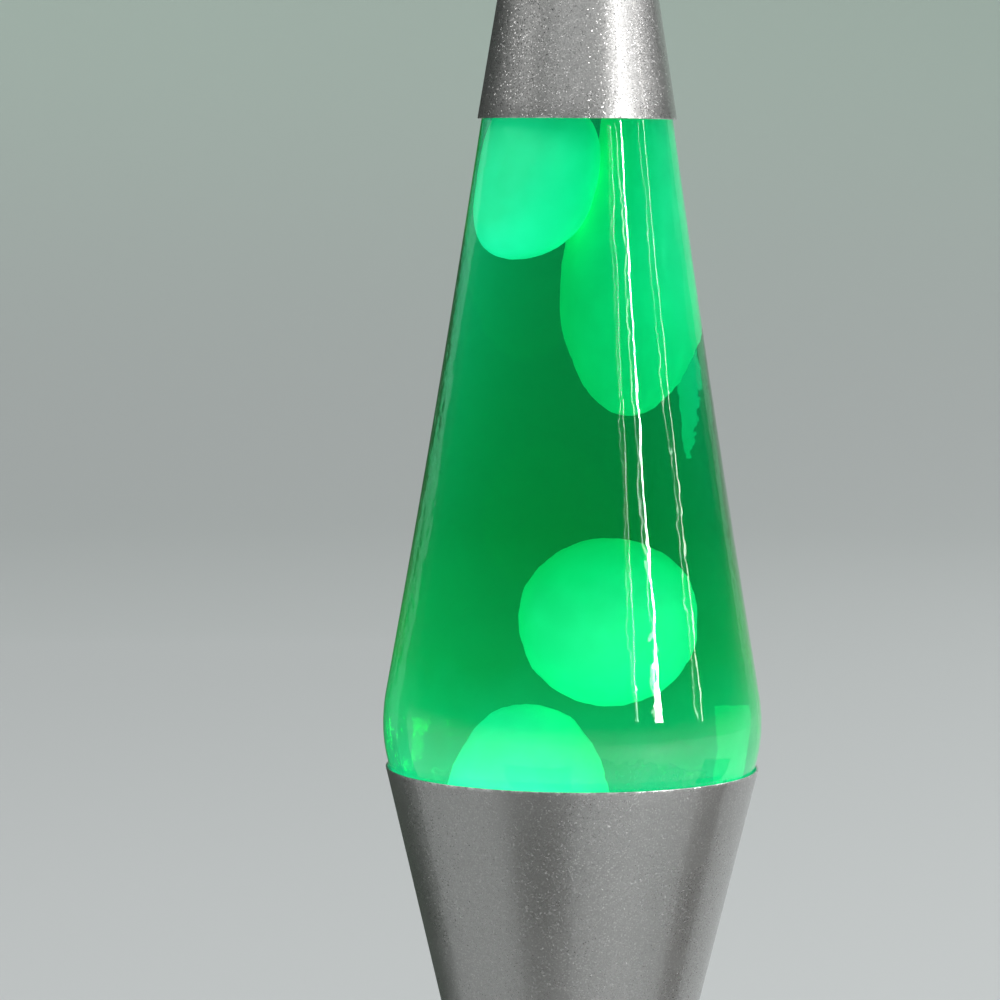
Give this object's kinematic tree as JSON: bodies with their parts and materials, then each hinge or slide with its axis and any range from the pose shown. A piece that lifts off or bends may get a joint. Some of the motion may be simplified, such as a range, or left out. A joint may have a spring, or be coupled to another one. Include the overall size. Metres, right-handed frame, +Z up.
{
  "type": "lava lamp",
  "caption": "Table lamp with a tapered glass bottle of green liquid and moving wax, in a silver hourglass base with a lift-off cap and a screw-in bulb.",
  "frame": {"origin": "centre of the face that the lamp stands on, under its four rubber feet", "axes": "+Z up along the lamp's axis, -Y the front, +Y the back where the cord inlet is, +X to the right seen from the front"},
  "size_m": [0.092, 0.092, 0.368],
  "materials": {
    "silver_paint": "satin",
    "bottle_glass": "polished",
    "closure_steel": "satin",
    "liner_plastic": "matte",
    "wax": "satin",
    "spring_steel": "satin",
    "liquid": "polished",
    "rubber": "matte",
    "brass": "satin",
    "black_plastic": "matte",
    "bulb_glass": "polished",
    "filament": "satin"
  },
  "bodies": {
    "base": {"base_cup": "silver_paint", "base_foot": "silver_paint", "cord_grommet": "rubber", "lampholder_body": "black_plastic", "lampholder_screw_shell": "brass", "lampholder_centre_contact": "brass", "terminal_screw_left": "brass", "terminal_screw_right": "brass", "lampholder_ring_nut": "black_plastic", "tie_rod": "closure_steel", "cover_washer": "closure_steel", "cover_nut": "closure_steel", "bottom_cover": "black_plastic", "rubber_foot_1": "rubber", "rubber_foot_2": "rubber", "rubber_foot_3": "rubber", "rubber_foot_4": "rubber"},
    "globe": {"glass_bottle": "bottle_glass", "bottle_closure": "closure_steel", "closure_liner": "liner_plastic", "liquid_fill": "liquid", "wax_upper_left": "wax", "wax_upper_right": "wax", "wax_mound": "wax", "wax_coil": "spring_steel"},
    "cap": {"cap_shell": "silver_paint"},
    "free_wax": {"wax_free_blob": "wax"},
    "bulb_tip": {"bulb_tip_contact": "brass"},
    "bulb": {"bulb_insulator": "black_plastic", "bulb_screw_shell": "brass", "bulb_glass": "bulb_glass", "bulb_stem": "bulb_glass", "bulb_lead_left": "spring_steel", "bulb_lead_right": "spring_steel", "bulb_filament": "filament"}
  },
  "joints": [
    {"name": "globe_lift", "type": "slide", "parent": "base", "child": "globe", "axis": [0, 0, 1], "range_m": [0, 0.06]},
    {"name": "cap_lift", "type": "slide", "parent": "globe", "child": "cap", "axis": [0, 0, 1], "range_m": [0, 0.05]},
    {"name": "wax_rise", "type": "slide", "parent": "globe", "child": "free_wax", "axis": [0, 0, 1], "range_m": [0, 0.026], "deforming": ["liquid_fill"]},
    {"name": "bulb_rise", "type": "slide", "parent": "base", "child": "bulb_tip", "axis": [0, 0, 1], "range_m": [0, 0.0142]},
    {"name": "bulb_turn", "type": "hinge", "parent": "bulb_tip", "child": "bulb", "pos_m": [0, 0, 0.06], "axis": [0, 0, 1], "range_deg": [0, 1800]}
  ],
  "couplings": [
    {"joint": "bulb_rise", "follows": "bulb_turn", "m_per_rad": 0.00044882}
  ]
}
